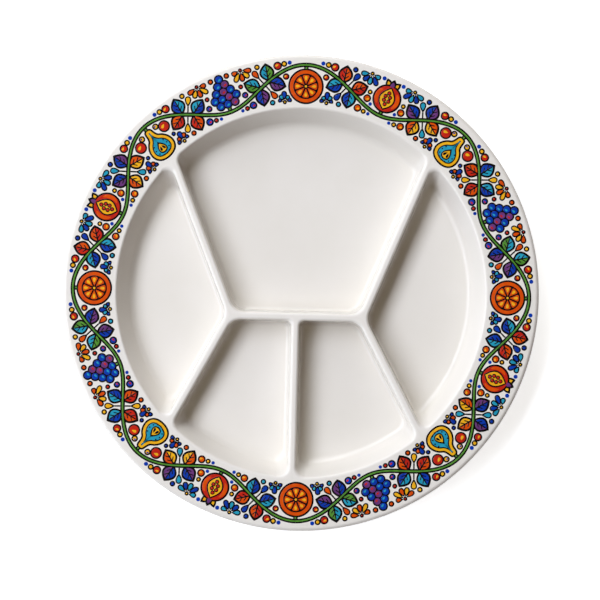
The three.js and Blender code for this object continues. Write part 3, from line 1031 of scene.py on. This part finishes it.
class EnamelPrint:
    """A printed motif: thin closed coats of enamel, drawn in its bay and laid on the rim's rise.

    In millimetres it has how far a coat sinks into the glaze, the bevel of its edge and the drop over that bevel,
    the widths of the dark lines about a fruit, a shoot or berry, and a petal, and the vine's width. Edges that
    turn by more than its sharp angle aren't smoothed.
    """

    sink = 0.03
    bevel = 0.05
    bevel_drop = 0.02
    line = 0.95
    shoot_line = 0.85 * line
    petal_line = 0.8 * line
    vine = 2.4
    sharp = np.radians(3)

    def __init__(self, band: RimBand, angle: float, side: int) -> None:
        """Starts a motif.

        Args:
            band: The band that it lies in.
            angle: Its bay's angle about the axis.
            side: 1 where the vine runs outside the motif, and -1 where it runs inside.
        """
        self.band, self.angle, self.side = band, angle, side
        self.surface = Surface()
        self.hues: list[Hue] = []

    def draw(self) -> None:
        """Lays the motif's coats."""
        raise NotImplementedError

    def _laid(self, plan: Array, lift: Array | float) -> Array:
        """Points of the bay on the rim.

        A bay's point has its distance towards the vine and its distance along the band, from the band's middle.

        Args:
            plan: Points of the bay, shaped (..., 2).
            lift: Height over the rim.

        Returns:
            Points in the plate's frame, shaped (..., 3).
        """
        x = self.band.middle + self.side * plan[..., 0]
        y = self.side * plan[..., 1]
        cos, sin = np.cos(self.angle), np.sin(self.angle)
        z = self.band.casting.rim_top(np.hypot(x, y)) + lift
        return np.stack([x * cos - y * sin, x * sin + y * cos, z], axis=-1)

    def bent(self, toward: Array | float, along: Array | float) -> Array:
        """Points of the bay at distances towards the vine and, round the axis, along the band."""
        angle = np.asarray(along) / self.band.middle
        radius = self.band.middle + self.side * np.asarray(toward)
        return np.stack([self.side * (radius * np.cos(angle) - self.band.middle), radius * np.sin(angle)], axis=-1)

    def _finish(self, hue: Hue) -> int:
        """Number of a colour among the motif's finishes."""
        if hue not in self.hues:
            self.hues.append(hue)
        return self.hues.index(hue)

    def patch(self, outline: Array, hue: Hue, coat: Coat, middle: Array | None = None) -> None:
        """Lays a coat inside an outline that all shows from its middle.

        Its rows run from the middle of its underside to the outline, up its bevelled edge and in to the middle
        of its face.

        Args:
            outline: Anticlockwise, in the bay.
            hue: The enamel.
            coat: Its order.
            middle: A point that sees the whole outline, or None for the mean of its points.
        """
        heart = outline.mean(axis=0) if middle is None else np.asarray(middle)
        away = outline - heart
        reach = np.maximum(np.linalg.norm(away, axis=1, keepdims=True), 1e-6)
        least_face = 0.4
        top = heart + away * np.maximum(1 - self.bevel / reach, least_face)
        heart_row = np.broadcast_to(heart, outline.shape)
        rows = np.stack([heart_row, outline, outline, top, heart_row])
        low, high = -self.sink, coat.lift
        lift = np.array([low, low, high - self.bevel_drop, high, high])[:, None]
        self.surface.grid(self._laid(rows, lift), self._finish(hue))

    def ribbon(self, path: Array, width: Array | float, hue: Hue, coat: Coat, round_ends: bool = True) -> None:
        """Lays a stroke along a path.

        Its section runs from the left foot over the bevelled face to the right foot. Its ends are half rounds.

        Args:
            path: Points of the bay, in order.
            width: Of the stroke, one for each point or one for all.
            hue: The enamel.
            coat: Its order.
            round_ends: Whether the ends are half rounds, and not cut square.
        """
        run = np.gradient(path, axis=0)
        run /= np.maximum(np.linalg.norm(run, axis=1, keepdims=True), 1e-9)
        left = np.stack([-run[:, 1], run[:, 0]], axis=1)
        half = np.broadcast_to(np.asarray(width, float) / 2, len(path)).copy()
        if round_ends:
            step = np.linalg.norm(np.diff(path, axis=0), axis=1)
            gone = np.concatenate([[0], np.cumsum(step)])
            near = np.minimum(gone, gone[-1] - gone) / half.max()
            half *= np.sqrt(np.clip(1 - (1 - np.clip(near, 0, 1)) ** 2, 0, 1))
        else:
            path, left, half = (np.concatenate([row[:1], row, row[-1:]]) for row in (path, left, half))
            half[[0, -1]] = 0
        inner = half - np.minimum(self.bevel, half / 2)
        across = np.stack([half, half, inner, -inner, -half, -half], axis=1)
        low, high, mid = -self.sink, coat.lift, coat.lift - self.bevel_drop
        lift = np.array([low, mid, high, high, mid, low])
        plan = path[:, None, :] + across[..., None] * left[:, None, :]
        self.surface.grid(self._laid(plan, lift[None, :]), self._finish(hue))

    def outlined(
        self, ground: Array, face: Array, hue: Hue, coat: Coat = Coat.UNDERLINE, middle: Array | None = None
    ) -> None:
        """Lays a dark ground and, as the next coat, a face in colour that leaves a line of it.

        Args:
            ground: Outline of the ground.
            face: Outline of the face.
            hue: The face's enamel.
            coat: Order of the ground.
            middle: A point that sees both outlines, or None for the means of their points.
        """
        self.patch(ground, Hue.BLACK, coat, middle)
        self.patch(face, hue, Coat(coat + 1), middle)

    def shoot(self, path: Array) -> None:
        """Lays a stretch of the vine or of a stem."""
        self.ribbon(path, self.vine, Hue.BLACK, Coat.UNDERLINE, round_ends=False)
        self.ribbon(path, self.vine - 2 * self.shoot_line, Hue.GREEN, Coat.GROUND, round_ends=False)

    def stem(self) -> None:
        """Lays the stem between a fruit and the vine, from a little inside the fruit."""
        overlap = 0.3
        top = self.band.fruit_height - self.band.height / 2
        toward = np.linspace(top - overlap, self.band.swing - self.vine / 2, 6)
        self.shoot(np.stack([toward, np.zeros_like(toward)], axis=1))

    def build(self, name: str, enamels: Enamels) -> Piece:
        """Draws the motif and makes its piece.

        Args:
            name: The piece's name.
            enamels: The finishes.

        Returns:
            The piece.
        """
        self.draw()
        return self.surface.piece(name, [enamels[hue] for hue in self.hues], self.sharp)


class OrangeSlice(EnamelPrint):
    """A cut orange: rind, and segments with a fleck in each, about a hub."""

    segments = 8
    rind = 1.75
    pith = 0.75
    segment_root = 1.15
    segment_span = np.radians(37)
    fleck_root = 2.9
    fleck = (2.5, 1.6)
    hub = 0.6

    def draw(self) -> None:
        """Lays the slice from its rind inwards."""
        radius = self.band.fruit_height / 2
        heart = np.array([radius - self.band.height / 2, 0.0])
        pulp = radius - self.line - self.rind
        self.stem()
        self.outlined(circle(heart, radius, 72), circle(heart, radius - self.line, 72), Hue.ORANGE)
        self.patch(circle(heart, pulp, 64), Hue.BLACK, Coat.LINE)
        for bearing in np.arange(self.segments) * TURN / self.segments:
            ahead = direction(bearing)
            segment = wedge(heart + self.segment_root * ahead, heart, bearing, pulp - self.pith, self.segment_span)
            self.patch(segment, Hue.ORANGE, Coat.FILL)
            self.patch(drop(heart + self.fleck_root * ahead, bearing, *self.fleck, 20), Hue.GOLD, Coat.DETAIL)
        self.patch(circle(heart, self.hub, 20), Hue.GOLD, Coat.FILL)


class GrapeBunch(EnamelPrint):
    """A bunch of grapes in rows, each nested between those of the row above.

    The radii of a grape's ground and of its face are shares of the grapes' pitch.
    """

    rows = (3, 4, 3, 2, 1)
    row_share = np.cos(np.pi / 6)
    ground = 0.64
    face = 0.43
    shine_root = (0.85, -0.7)
    shine = (2.0, 1.8, 1.1)
    dress = ((Hue.COBALT, Hue.TURQUOISE), (Hue.COBALT, Hue.TURQUOISE), (Hue.AUBERGINE, Hue.RED))

    def draw(self) -> None:
        """Lays each grape on its dark ground, with its shine."""
        pitch = self.band.fruit_height / ((len(self.rows) - 1) * self.row_share + 2 * self.ground)
        top = self.band.fruit_height - self.band.height / 2
        self.stem()
        places = [
            (top - self.ground * pitch - row * self.row_share * pitch, across)
            for row, count in enumerate(self.rows)
            for across in spread(count, pitch)
        ]
        for number, at in enumerate(np.array(places)):
            hue, shine = self.dress[number % len(self.dress)]
            self.outlined(circle(at, self.ground * pitch, 36), circle(at, self.face * pitch, 36), hue)
            self.patch(drop(at + self.shine_root, *self.shine, 20), shine, Coat.LINE)


class PearHalf(EnamelPrint):
    """A halved pear: skin, flesh with specks, and a core with two pips.

    Each drop of the core has the distance of its root from the heart, its length and its width.
    """

    slimness = 0.74
    neck_share = 1 / 2.6
    waist = (0.5, 0.7, 0.82)
    skin = 1.3
    flesh_line = 0.65
    heart_share = 0.36
    core = ((3.5, 6.8, 5.4), (2.2, 4.75, 3.9))
    pip_root = (0.8, 0.35)
    pip_lean = 0.34
    pip = (2.7, 1.35)
    speck_turns = np.linspace(1.0, 5.28, 9)
    speck_reach = (4.3, 3.75)
    speck = 0.42

    def draw(self) -> None:
        """Lays the half from its skin inwards."""
        low = -self.band.height / 2
        outline = self._outline(low, low + self.band.fruit_height)
        heart = np.array([low + self.heart_share * self.band.fruit_height, 0.0])
        flesh = self.line + self.skin
        self.stem()
        self.outlined(outline, inset(outline, self.line), Hue.GOLD, middle=heart)
        self.outlined(inset(outline, flesh), inset(outline, flesh + self.flesh_line), Hue.TURQUOISE, Coat.LINE, heart)
        ground, face = (drop(heart + (root, 0.0), np.pi, length, width) for root, length, width in self.core)
        self.outlined(ground, face, Hue.GOLD, Coat.DETAIL)
        for way in (-1, 1):
            root = heart + np.multiply(self.pip_root, (1, way))
            self.patch(drop(root, np.pi - self.pip_lean * way, *self.pip, 20), Hue.BLACK, Coat.DOT)
        for at in heart + direction(self.speck_turns) * self.speck_reach:
            self.patch(circle(at, self.speck, 14), Hue.BLACK, Coat.DETAIL)

    def _outline(self, low: float, high: float) -> Array:
        """The pear's outline: a round belly that narrows to a neck, as four cubic curves.

        Args:
            low: Where the belly ends.
            high: Where the neck ends.

        Returns:
            Points, anticlockwise.
        """
        belly = self.band.fruit_height * self.slimness * 2 / 3
        neck = belly * self.neck_share
        at = low + (high - low) * np.array(self.waist)
        half = [
            np.array([[low, 0], [low, -belly], [at[0], -belly], [at[1], -neck]]),
            np.array([[at[1], -neck], [at[2], -neck / 2], [high, -neck], [high, 0]]),
        ]
        t = np.linspace(0, 1, 25)[:-1, None]
        weights = [(1 - t) ** 3, 3 * t * (1 - t) ** 2, 3 * t**2 * (1 - t), t**3]
        right = np.concatenate([sum(w * p for w, p in zip(weights, curve)) for curve in half])
        left = (right * [1, -1])[:0:-1]
        return np.concatenate([right, [[high, 0]], left])


class Pomegranate(EnamelPrint):
    """A pomegranate, split to show its seeds, with a three-pointed crown.

    Each point of the crown has its side, length, colour and coat, each row of seeds its distance from the heart
    and its count, and a seed's ground and face their radius and their count of points.
    """

    crown_height = 3.4
    crown_depth = 1.6
    crown_lean = 0.62
    crown_root = 0.6
    crown = (
        (-1, 5.7, Hue.GOLD, Coat.UNDERLINE),
        (1, 5.7, Hue.GOLD, Coat.UNDERLINE),
        (0, 5.3, Hue.AUBERGINE, Coat.LINE),
    )
    point_width = 3.6
    point_line = 1.5
    stripe_ends = (0.75, 2.4)
    stripe_inset = 2.0
    stripe_width = 1.9
    stripe_taper = 0.6
    stripe_tip = 0.01
    split_width = 8.8
    split_ends = (1.4, 1.2)
    split_line = 0.75
    seed_rows = ((3.0, 1), (1.05, 2), (-1.15, 2), (-3.1, 1))
    seed_pitch = 2.5
    seed = ((1.15, 24), (0.62, 20))

    def draw(self) -> None:
        """Lays the crown, the round fruit, its stripes, and the split with its seeds."""
        throat = self.crown_height - self.band.height / 2
        radius = (self.band.fruit_height - self.crown_height) / 2
        heart = np.array([throat + radius, 0.0])
        self.stem()
        for way, length, hue, coat in self.crown:
            root = np.array([throat + self.crown_depth + self.crown_root, self.crown_root * way])
            bearing = np.pi - self.crown_lean * way
            face = lens(root, bearing, length - self.point_line, self.point_width - self.point_line)
            self.outlined(lens(root, bearing, length, self.point_width), face, hue, coat)
        self.outlined(circle(heart, radius, 64), circle(heart, radius - self.line, 64), Hue.RED, Coat.LINE)
        swell = np.sin(np.linspace(0, np.pi, 22)) ** self.stripe_taper
        widths = self.stripe_width * swell + self.stripe_tip
        for way in (-1, 1):
            path = heart + (radius - self.stripe_inset) * direction(way * np.linspace(*self.stripe_ends, 22))
            self.ribbon(path, widths, Hue.ORANGE, Coat.DETAIL)
        top, foot = self.split_ends
        split = lens(heart + (radius - top, 0), np.pi, 2 * radius - top - foot, self.split_width)
        self.outlined(split, inset(split, self.split_line), Hue.GOLD, Coat.ACCENT)
        for along, count in self.seed_rows:
            for across in spread(count, self.seed_pitch):
                ground, face = (circle(heart + (along, across), *size) for size in self.seed)
                self.outlined(ground, face, Hue.RED, Coat.SEED)


class VineSprig(EnamelPrint):
    """The vine's half wave between two bays, with a pair of leaves and a bud on each side of its crossing.

    Each drop of the bud has the distance of its root from the crossing, its length and its width, and each pair of
    veins its place as a share of the leaf's length and its reach to the side.
    """

    leaf_width = 8.0
    leaf_lean = np.radians(32)
    leaf_root = 2.2
    leaf_clearance = 1.8
    half_root = 1.2
    half_trim = (2.7, 2.2)
    rib_ends = (0.8, 0.84)
    rib_widths = (0.9, 0.6)
    veins = ((0.26, 1.887), (0.5, 1.785))
    vein_rise = 1.9
    vein_bend = 1.15
    vein_width = 0.55
    dress = (
        ((Hue.TURQUOISE, Hue.GREEN), (Hue.COBALT, Hue.AUBERGINE)),
        ((Hue.TURQUOISE, Hue.COBALT), (Hue.ORANGE, Hue.RED)),
        ((Hue.COBALT, Hue.AUBERGINE), (Hue.ORANGE, Hue.GOLD)),
        ((Hue.ORANGE, Hue.RED), (Hue.TURQUOISE, Hue.COBALT)),
    )
    bud_hues = (Hue.ORANGE, Hue.GOLD, Hue.TURQUOISE, Hue.COBALT)
    bud_stem = (0.9, 4.6)
    bud_stem_width = 0.8
    bud = ((3.9, 5.7, 3.7), (5.3, 3.6, 2.2))

    def __init__(self, band: RimBand, number: int) -> None:
        """Starts the sprig after the bay of a number."""
        super().__init__(band, (number + 0.5) * band.bay_angle, 1)
        self.number = number
        self.way = band.side(number)

    def _vine(self, along: Array | float) -> Array:
        """Points of the vine at distances along the band: a half wave, bent round the axis."""
        along = np.asarray(along, float)
        return self.bent(-self.way * self.band.swing * np.sin(along / self.band.pitch * np.pi), along)

    def draw(self) -> None:
        """Lays the vine, its buds and its four leaves."""
        self.shoot(self._vine(np.linspace(-0.5, 0.5, 90) * self.band.pitch))
        slant = np.arctan(self.way * self.band.swing * np.pi / self.band.pitch)
        length = (self.band.pitch - self.band.fruit_height) / 2
        length = min(self.band.height / 2, length) - self.leaf_clearance
        for facing, turn, hues in zip((0, np.pi), (1, -1), self.dress[self.number % len(self.dress)]):
            self._bud(facing + slant)
            for end in (-1, 1):
                bearing = facing + slant + turn * end * self.leaf_lean
                self._leaf(self._vine(end * self.leaf_root), bearing, length, hues, end)

    def _bud(self, bearing: float) -> None:
        """Lays a bud on its stem between two leaves."""
        ahead = direction(bearing)
        self.ribbon(np.linspace(*self.bud_stem, 8)[:, None] * ahead, self.bud_stem_width, Hue.BLACK, Coat.UNDERLINE)
        ground, face = (drop(root * ahead, bearing, length, width) for root, length, width in self.bud)
        self.outlined(ground, face, self.bud_hues[self.number % len(self.bud_hues)])

    def _leaf(self, root: Array, bearing: float, length: float, hues: tuple[Hue, Hue], end: int) -> None:
        """Lays a leaf: a dark ground, two halves in two tones, its midrib and its veins.

        Args:
            root: Where it leaves the vine.
            bearing: Angle of its axis.
            length: From root to tip.
            hues: Colours of its halves.
            end: 1 or -1, which half has which colour.
        """
        self.patch(lens(root, bearing, length, self.leaf_width), Hue.BLACK, Coat.UNDERLINE)
        edge = bow(length - self.half_trim[0], self.leaf_width - self.half_trim[1]) + (self.half_root, 0)
        for way, hue in zip((end, -end), hues):
            outline = np.concatenate([edge * [1, -way], (edge * [1, 0])[-2:0:-1]])
            self.patch(placed(outline[::way], root, bearing), hue, Coat.GROUND)
        rib = np.linspace(self.rib_ends[0], length * self.rib_ends[1], 16)[:, None] * [1, 0]
        self.ribbon(placed(rib, root, bearing), np.linspace(*self.rib_widths, 16), Hue.BLACK, Coat.LINE)
        span = np.linspace(0, 1, 10)
        for share, reach in self.veins:
            for way in (-1, 1):
                along = share * length + self.vein_rise * span**self.vein_bend
                vein = np.stack([along, way * reach * span], axis=1)
                self.ribbon(placed(vein, root, bearing), self.vein_width, Hue.BLACK, Coat.LINE)


class BerryTrim(EnamelPrint):
    """Palmettes and berries that fill the ground about a fruit, alike on its two sides.

    Each berry is given by how far it lies towards the vine and along the band, and by its radius; each petal of
    the palmette by its turn from the palmette's axis and its length.
    """

    dress = (
        (Hue.COBALT, Hue.TURQUOISE, Hue.RED, Hue.GOLD),
        (Hue.ORANGE, Hue.GOLD, Hue.COBALT, Hue.RED),
        (Hue.COBALT, Hue.ORANGE, Hue.RED, Hue.GOLD),
        (Hue.TURQUOISE, Hue.COBALT, Hue.ORANGE, Hue.GOLD),
    )
    short_fan = ((-1.25, 3.0), (-0.62, 3.3), (0.0, 5.0), (0.52, 3.7), (1.15, 2.8))
    long_fan = ((-1.3, 4.2), (-0.65, 6.0), (0.0, 5.2), (0.65, 5.2), (1.3, 5.1))
    outer_berries = ((8.95, 14.0, 2.3), (9.7, 10.75, 1.6), (10.18, 8.1, 1.1), (-9.8, 19.0, 1.5))
    inner_berries = ((9.15, 13.35, 2.1), (9.93, 9.6, 1.38), (10.4, 6.65, 0.92), (-9.8, 19.45, 1.5))
    near_berries = (
        ((3.05, 10.23, 1.75),),
        ((2.94, 10.38, 1.75), (-1.9, 9.3, 1.35), (-9.6, 4.1, 1.55)),
        ((2.44, 8.16, 3.2), (5.11, 4.64, 1.75), (-3.83, 9.59, 1.25)),
        ((2.8, 9.89, 2.1), (-0.79, 9.44, 1.35), (-10.05, 5.0, 1.1), (5.14, 7.31, 0.95)),
    )
    ways = {1: (12.0, short_fan, outer_berries), -1: (11.2, long_fan, inner_berries)}
    outlined_from = 1.2
    shiny_above = 1.7
    shine_root = (0.3, -0.24)
    shine = (0.8, 0.48)
    shine_bearing = 2.0
    knob = 1.1
    knob_inset = 1.4
    petal_root = 1.0
    petal_step = 1.1
    petal_width = (0.4, 1.5)
    petal_widest = 3.3

    def __init__(self, band: RimBand, bay: int) -> None:
        """Starts the trim of a bay."""
        super().__init__(band, bay * band.bay_angle, band.side(bay))
        self.bay = bay

    def draw(self) -> None:
        """Lays a palmette and its berries on each side of the fruit."""
        kind = self.bay % len(self.dress)
        hues = self.dress[kind]
        along, fan, berries = self.ways[self.side]
        for way in (-1, 1):
            self._palmette(way, along, fan, hues)
            for number, (toward, away, radius) in enumerate(berries + self.near_berries[kind]):
                hue, shine = (hues[(number + step) % len(hues)] for step in (2, 3))
                self._berry(self.bent(toward, way * away), radius, hue, shine)

    def _berry(self, at: Array, radius: float, hue: Hue, shine: Hue) -> None:
        """Lays a berry; a small one has no outline, and only a large one has a shine."""
        if radius < self.outlined_from:
            self.patch(circle(at, radius, 24), Hue.COBALT, Coat.GROUND)
            return
        self.outlined(circle(at, radius, 28), circle(at, radius - self.shoot_line, 24), hue)
        if radius > self.shiny_above:
            length, width = (radius * share for share in self.shine)
            root = at + radius * np.array(self.shine_root)
            self.patch(drop(root, self.shine_bearing, length, width, 20), shine, Coat.LINE)

    def _palmette(self, way: int, along: float, fan: tuple[tuple[float, float], ...], hues: tuple[Hue, ...]) -> None:
        """Lays drop-shaped petals that spread from a knob at the band's edge.

        Args:
            way: Side of the fruit, 1 or -1.
            along: The knob's distance from the bay's middle.
            fan: Turn and length of each petal, from the fruit outwards.
            hues: Colours of the bay.
        """
        root = self.bent(self.knob_inset - self.band.height / 2, way * along)
        for number, (turn, length) in enumerate(fan):
            bearing = way * (self.side * along / self.band.middle + turn)
            start = root + self.petal_root * direction(bearing)
            width = min(self.petal_widest, self.petal_width[0] * length + self.petal_width[1])
            inner = start + self.petal_step * direction(bearing)
            inner_length = length - self.petal_step - self.petal_line
            face = drop(inner, bearing, inner_length, width - 2 * self.petal_line)
            self.outlined(drop(start, bearing, length, width), face, hues[number % 2])
        face = circle(root, self.knob - self.petal_line, 20)
        self.outlined(circle(root, self.knob, 24), face, hues[3], Coat.LINE)


@dataclass
class Garland:
    """The printed garland: fruits by turns inside and outside the vine, its sprigs, and the trim between."""

    band: RimBand = field(default_factory=RimBand)

    def build(self, enamels: Enamels) -> list[Piece]:
        """Builds every motif in place of its solid, and the trim that the solids leave out.

        Args:
            enamels: The finishes.

        Returns:
            The pieces.
        """
        kinds = (
            ("orange", OrangeSlice, "enamel_orange"),
            ("grapes", GrapeBunch, "enamel_cobalt"),
            ("pear", PearHalf, "enamel_turquoise"),
            ("pomegranate", Pomegranate, "enamel_red"),
        )
        pieces = []
        for bay in range(self.band.bays):
            node, kind, slot = kinds[bay % len(kinds)]
            name = f"{node}_{bay // len(kinds) + 1}"
            fruit = kind(self.band, bay * self.band.bay_angle, self.band.side(bay))
            pieces.append(self._stand_in(fruit, name, slot, enamels))
            sprig = VineSprig(self.band, bay)
            pieces.append(self._stand_in(sprig, f"vine_sprig_{bay + 1}", "enamel_green", enamels))
            trim = BerryTrim(self.band, bay).build(f"berry_trim_{bay + 1}", enamels)
            pieces.append(trim)
        return pieces

    @staticmethod
    def _stand_in(motif: EnamelPrint, node: str, slot: str, enamels: Enamels) -> Piece:
        """A motif's piece in place of a solid.

        Args:
            motif: The motif.
            node: Name of the solid.
            slot: Not used.
            enamels: The finishes.

        Returns:
            The piece.
        """
        piece = motif.build(f"{node}_print", enamels)
        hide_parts(node)
        return piece


@dataclass(frozen=True)
class Softbox:
    """A soft lamp that faces the plate: its direction, distance and size in metres, power, tint and reflection."""

    name: str
    azimuth: float
    elevation: float
    distance: float
    width: float
    height: float
    power: float
    tint: tuple[float, float, float]
    mirrored: bool = True

    def build(self) -> None:
        """Adds the lamp to the scene."""
        data = bpy.data.lights.new(self.name, "AREA")
        data.shape = "RECTANGLE"
        data.size = self.width
        data.size_y = self.height
        data.energy = self.power
        data.color = self.tint
        lamp = bpy.data.objects.new(self.name, data)
        level = np.cos(self.elevation) * direction(self.azimuth)
        place = Vector((float(level[0]), float(level[1]), float(np.sin(self.elevation)))) * self.distance
        lamp.location = place
        lamp.rotation_euler = (-place).to_track_quat("-Z", "Y").to_euler()
        lamp.visible_glossy = self.mirrored
        bpy.context.scene.collection.objects.link(lamp)


SOFTBOXES = (
    Softbox("key", np.radians(157), np.radians(54), 2.0, 3.4, 0.86, 54.4, (0.95, 1.0, 1.1)),
    Softbox("rear", np.radians(95), np.radians(22), 1.8, 0.7, 0.7, 8.6, (0.98, 1.0, 0.96)),
    Softbox("front", np.radians(209), np.radians(12), 1.8, 0.7, 0.7, 7.2, (0.88, 1.0, 1.12)),
    Softbox("overhead", 0.0, np.radians(90), 1.8, 1.06, 1.06, 2.5, (1.05, 1.0, 0.72), mirrored=False),
)


@dataclass
class Studio:
    """Floor, lights and camera.

    The fill is the world's light. The floor is lifted to white between two distances from the plate's axis.
    """

    lens_mm: float = 100.0
    frame_width: float = 0.3144
    aim: tuple[float, float] = (-0.00038, -0.00368)
    roll: float = np.radians(1.4)
    rim_height: float = 0.0225
    fill: float = 0.036
    fill_tint: Color = (1.0, 0.32, 0.12, 1.0)
    floor_half: float = 2.0
    floor_tone: Color = (0.8, 0.8, 0.8, 1.0)
    lift_reach: tuple[float, float] = (0.2, 0.6)
    lift: tuple[float, float] = (0.75, 1.0)

    def build(self) -> None:
        """Sets up the whole studio."""
        bpy.context.scene.view_settings.view_transform = "Standard"
        self._camera()
        for lamp in SOFTBOXES:
            lamp.build()
        self._world()
        self._floor()

    def _camera(self) -> None:
        """A camera that looks straight down on the plate."""
        data = bpy.data.cameras.new("camera")
        data.lens = self.lens_mm
        distance = self.frame_width * data.lens / data.sensor_width
        camera = bpy.data.objects.new("camera", data)
        camera.location = (*self.aim, self.rim_height + distance)
        camera.rotation_euler = (0, 0, self.roll)
        bpy.context.scene.collection.objects.link(camera)
        bpy.context.scene.camera = camera

    def _world(self) -> None:
        """Even fill light, which the camera sees as white."""
        world = bpy.data.worlds.new("studio")
        world.use_nodes = True
        graph = Graph(world.node_tree)
        seen = graph.node("ShaderNodeLightPath").outputs["Is Camera Ray"]
        fill = graph.node("ShaderNodeBackground", {"Color": self.fill_tint, "Strength": self.fill})
        white = graph.node("ShaderNodeBackground", {"Color": WHITE, "Strength": 1.0})
        mixed = graph.node("ShaderNodeMixShader", {0: seen, 1: fill.outputs[0], 2: white.outputs[0]})
        graph.node("ShaderNodeOutputWorld", {"Surface": mixed.outputs[0]})
        bpy.context.scene.world = world

    def _floor(self) -> None:
        """A wide white floor, lifted to white for the camera, most of all far from the plate, whose shadow it keeps."""
        half = self.floor_half
        mesh = bpy.data.meshes.new("floor")
        mesh.from_pydata([(-half, -half, 0), (half, -half, 0), (half, half, 0), (-half, half, 0)], [], [(0, 1, 2, 3)])
        floor = bpy.data.objects.new("floor", mesh)
        bpy.context.scene.collection.objects.link(floor)
        material, graph = new_material("studio_floor", self.floor_tone)
        path = graph.node("ShaderNodeLightPath").outputs
        seen = graph.math("MAXIMUM", path["Is Camera Ray"], path["Is Glossy Ray"])
        seen = graph.math("MAXIMUM", seen, path["Is Transmission Ray"])
        at = graph.node("ShaderNodeTexCoord").outputs["Object"]
        away = graph.node("ShaderNodeVectorMath", {0: at}, operation="LENGTH").outputs["Value"]
        strength = graph.math("MULTIPLY", seen, graph.span(away, *self.lift_reach, *self.lift))
        matt = graph.node("ShaderNodeBsdfDiffuse", {"Color": self.floor_tone})
        glow = graph.node("ShaderNodeEmission", {"Color": WHITE, "Strength": strength})
        total = graph.node("ShaderNodeAddShader", {0: matt.outputs[0], 1: glow.outputs[0]})
        graph.node("ShaderNodeOutputMaterial", {"Surface": total.outputs[0]})
        mesh.materials.append(material)


def main() -> None:
    """Builds the plate, its garland and the studio."""
    logging.basicConfig(level=logging.INFO, format="%(message)s")
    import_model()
    effects = Effects()
    enamels = {hue: Enamel(hue).material(effects) for hue in Hue}
    plate = PlateBody().build(WareGlaze().material(effects))
    pieces = [plate, *Garland().build(enamels)]
    for piece in pieces:
        LOG.info("%s: %d faces", piece.name, len(piece.data.polygons))
    Studio().build()


if __name__ == "__main__":
    main()
